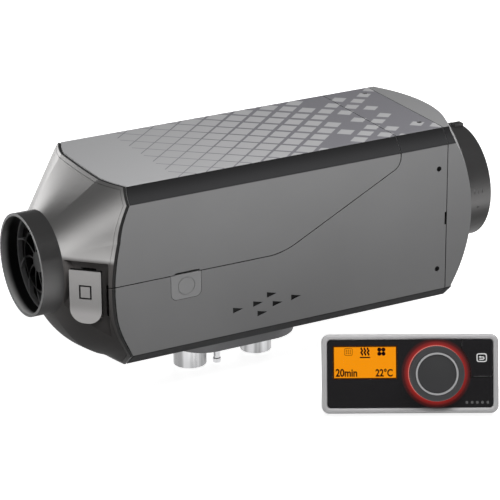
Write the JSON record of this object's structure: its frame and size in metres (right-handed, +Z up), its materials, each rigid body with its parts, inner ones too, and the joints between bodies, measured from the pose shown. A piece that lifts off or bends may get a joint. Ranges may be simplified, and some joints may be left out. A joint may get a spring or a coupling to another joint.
{
  "type": "petrol parking heater",
  "caption": "Air parking heater: bevelled casing with a lift-off cover, round air collars at both ends, bolt-down foot with air, exhaust and fuel ports, and a separate dial control panel.",
  "frame": {"origin": "centre of the foot's underside, the face that is bolted to the vehicle's floor", "axes": "+X along the air flow from the inlet collar to the outlet collar, +Z up, away from the floor; the near side with the flow marks and the control panel faces -Y"},
  "size_m": [0.442, 0.3118, 0.205],
  "materials": {
    "casing_grey": "fine grain",
    "cover_grey": "fine grain",
    "hood_grey": "satin",
    "outlet_grey": "satin",
    "latch_grey": "satin",
    "plug_grey": "satin",
    "seal_black": "matte",
    "gland_black": "matte",
    "gasket": "matte",
    "guard_black": "satin",
    "fan_black": "satin",
    "box_black": "satin",
    "sensor_black": "satin",
    "board_green": "satin",
    "magnet": "plain",
    "armature_iron": "plain",
    "pin_steel": "bright",
    "screw_steel": "zinc plated",
    "spigot_steel": "bright",
    "fuel_steel": "bright",
    "burner_steel": "heat tinted",
    "plug_steel": "plain",
    "motor_steel": "zinc plated",
    "bearing_steel": "ground",
    "shaft_steel": "ground",
    "stem_steel": "plain",
    "casting": "cast",
    "blower_casting": "cast",
    "wheel_aluminium": "cast",
    "panel_black": "satin",
    "frame_silver": "satin silver",
    "face_black": "gloss",
    "socket_white": "satin",
    "display_glass": "clear",
    "display_amber": "lit amber",
    "ring_red": "lit red",
    "dial_grip": "textured",
    "dial_silver": "polished",
    "dial_cap": "satin",
    "encoder_black": "satin"
  },
  "bodies": {
    "heater": {"lower_casing": "casing_grey", "casing_rim": "hood_grey", "casing_seal": "seal_black", "inlet_hood": "hood_grey", "inlet_guard": "guard_black", "near_latch_pin": "pin_steel", "far_latch_pin": "pin_steel", "outlet_hood": "outlet_grey", "outlet_screws": "screw_steel", "blind_plug": "plug_grey", "cable_gland": "gland_black", "heat_exchanger": "casting", "neck_seal": "seal_black", "air_spigot": "spigot_steel", "exhaust_spigot": "spigot_steel", "fuel_pipe": "fuel_steel", "burner_cup": "burner_steel", "flame_tube": "burner_steel", "glow_plug": "plug_steel", "overheat_sensor": "sensor_black", "exchanger_gasket": "gasket", "blower_housing": "blower_casting", "blower_cover": "blower_casting", "blower_screws": "screw_steel", "motor_can": "motor_steel", "motor_magnets": "magnet", "front_bearing": "bearing_steel", "rear_bearing": "bearing_steel", "control_bracket": "box_black", "control_tray": "box_black", "control_board": "board_green", "control_lid": "box_black", "panel_back": "panel_black", "panel_frame": "frame_silver", "panel_face": "face_black", "panel_board": "board_green", "panel_screws": "screw_steel", "panel_socket": "socket_white", "display_glass": "display_glass", "display_module": "display_amber", "light_ring": "ring_red", "encoder_body": "encoder_black", "button_switch": "encoder_black"},
    "cover": {"upper_cover": "cover_grey", "cover_rim": "hood_grey", "cover_seal": "seal_black"},
    "rotor": {"rotor_shaft": "shaft_steel", "armature": "armature_iron", "air_fan": "fan_black", "combustion_wheel": "wheel_aluminium"},
    "near_latch": {"near_latch": "latch_grey"},
    "far_latch": {"far_latch": "latch_grey"},
    "dial_plunger": {"push_plunger": "stem_steel"},
    "dial": {"dial_knob": "dial_grip", "dial_ring": "dial_silver", "dial_cap": "dial_cap", "dial_stem": "stem_steel"},
    "return_key": {"return_button": "face_black"}
  },
  "joints": [
    {"name": "rotor_spin", "type": "hinge", "parent": "heater", "child": "rotor", "pos_m": [-0.12, 0, 0.0975], "axis": [1, 0, 0], "continuous": true},
    {"name": "cover_lift", "type": "slide", "parent": "heater", "child": "cover", "axis": [0, 0, 1], "range_m": [0, 0.1]},
    {"name": "near_latch_swing", "type": "hinge", "parent": "heater", "child": "near_latch", "pos_m": [-0.15757, -0.05689, 0.0665], "axis": [0.7303, -0.6832, 0], "range_deg": [0, 20], "stiffness_Nm_per_rad": 0.03, "springref_deg": -8.59},
    {"name": "far_latch_swing", "type": "hinge", "parent": "heater", "child": "far_latch", "pos_m": [-0.15757, 0.05689, 0.0665], "axis": [-0.7303, -0.6832, 0], "range_deg": [0, 20], "stiffness_Nm_per_rad": 0.03, "springref_deg": -8.59},
    {"name": "dial_push", "type": "slide", "parent": "heater", "child": "dial_plunger", "axis": [0.444, 0.8212, -0.3584], "range_m": [0, 0.0008], "stiffness_N_per_m": 1500, "springref_m": -0.001},
    {"name": "dial_turn", "type": "hinge", "parent": "dial_plunger", "child": "dial", "pos_m": [0.10024, -0.19908, 0.01037], "axis": [0.444, 0.8212, -0.3584], "continuous": true},
    {"name": "key_press", "type": "slide", "parent": "heater", "child": "return_key", "axis": [0.444, 0.8212, -0.3584], "range_m": [0, 0.0006], "stiffness_N_per_m": 800, "springref_m": -0.0006}
  ]
}
